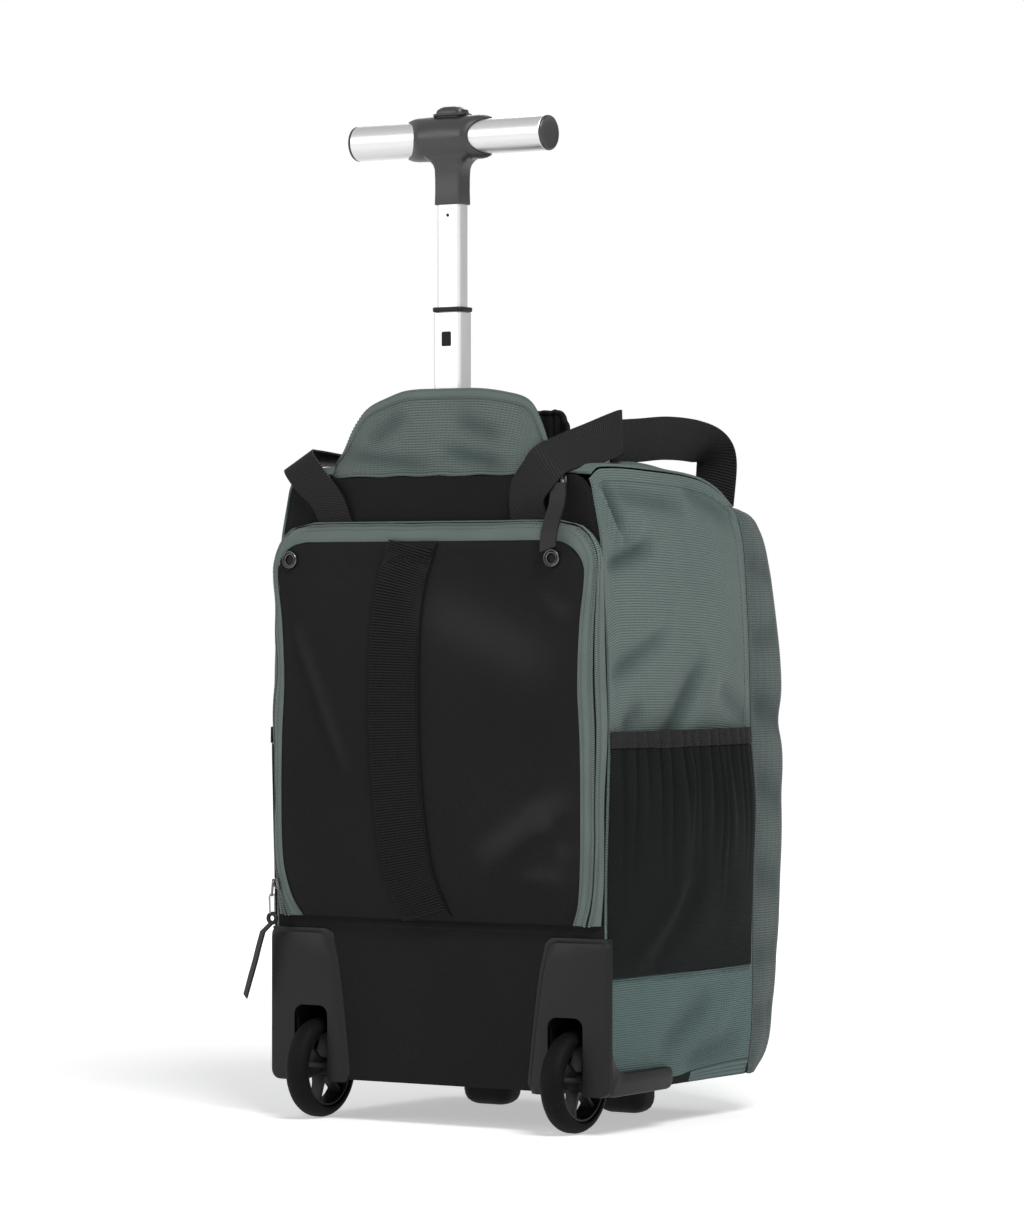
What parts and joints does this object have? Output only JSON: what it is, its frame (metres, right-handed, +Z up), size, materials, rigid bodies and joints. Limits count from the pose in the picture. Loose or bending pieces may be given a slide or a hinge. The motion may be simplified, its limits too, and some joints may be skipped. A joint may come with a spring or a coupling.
{
  "type": "wheeled backpack",
  "caption": "Wheeled backpack with a telescopic T handle, padded back cover, hooded grip pocket, mesh side pockets and webbing carry handles.",
  "frame": {"origin": "middle of the bounding box on the floor that the wheels and feet stand on", "axes": "+Z up along the telescopic handle, -Y towards the back panel and the wheels, +Y towards the front compartment"},
  "size_m": [0.3432, 0.308, 0.7749],
  "materials": {
    "green_ripstop": "matt ripstop cloth with fine ribs",
    "green_twill": "matt twill tape",
    "black_knit": "matt knitted cloth",
    "black_webbing": "ribbed webbing",
    "black_mesh": "open mesh",
    "black_plastic": "fine moulded grain",
    "black_rubber": "matt",
    "satin_aluminium": "satin anodised",
    "dark_steel": "bright"
  },
  "bodies": {
    "bag": {"axle_left": "dark_steel", "axle_right": "dark_steel", "back_cover": "black_knit", "back_panel": "black_knit", "base_panel": "black_knit", "bottom_panel": "black_knit", "carry_strap_left": "black_webbing", "carry_strap_right": "black_webbing", "cover_gusset": "green_twill", "cover_webbing": "black_webbing", "front_foot_left": "black_plastic", "front_foot_right": "black_plastic", "front_gusset": "green_ripstop", "front_panel": "green_ripstop", "grommet_left": "dark_steel", "grommet_right": "dark_steel", "hood_back": "black_knit", "hood_edging": "green_twill", "hood_floor": "black_knit", "hood_front": "green_ripstop", "lower_side_left": "green_ripstop", "lower_side_right": "green_ripstop", "mesh_pocket_left": "black_mesh", "mesh_pocket_right": "black_mesh", "outer_tube": "satin_aluminium", "pocket_hem_left": "black_webbing", "pocket_hem_right": "black_webbing", "puller_left": "black_rubber", "puller_right": "black_rubber", "side_panel_left": "green_ripstop", "side_panel_right": "green_ripstop", "top_panel": "green_ripstop", "wheel_housing_left": "black_plastic", "wheel_housing_right": "black_plastic", "zip_coil": "black_webbing", "zip_link_left": "dark_steel", "zip_ring_left": "dark_steel", "zip_ring_right": "dark_steel", "zip_slider_left": "dark_steel", "zip_slider_right": "dark_steel"},
    "lower_stage": {"lower_tube": "satin_aluminium", "latch_button": "black_plastic", "stage_collar": "black_plastic"},
    "upper_stage": {"grip_hub": "black_plastic", "grip_tube": "satin_aluminium", "grip_cap_left": "black_plastic", "grip_cap_right": "black_plastic", "upper_tube": "satin_aluminium"},
    "push_button": {"grip_button": "black_plastic"},
    "wheel_left": {"wheel_tyre_left": "black_rubber", "wheel_hub_left": "black_plastic"},
    "wheel_right": {"wheel_tyre_right": "black_rubber", "wheel_hub_right": "black_plastic"}
  },
  "joints": [
    {"name": "lower_stage_slide", "type": "slide", "parent": "bag", "child": "lower_stage", "axis": [0, 0, 1], "range_m": [-0.165, 0.06]},
    {"name": "upper_stage_slide", "type": "slide", "parent": "lower_stage", "child": "upper_stage", "axis": [0, 0, 1], "range_m": [-0.0777, 0.15]},
    {"name": "push_button_slide", "type": "slide", "parent": "upper_stage", "child": "push_button", "axis": [0, 0, 1], "range_m": [-0.002, 0], "stiffness_N_per_m": 300, "springref_m": 0.003},
    {"name": "wheel_left_spin", "type": "hinge", "parent": "bag", "child": "wheel_left", "pos_m": [-0.11582, -0.11551, 0.0385], "axis": [1, 0, 0], "continuous": true},
    {"name": "wheel_right_spin", "type": "hinge", "parent": "bag", "child": "wheel_right", "pos_m": [0.11618, -0.11551, 0.0385], "axis": [1, 0, 0], "continuous": true}
  ]
}
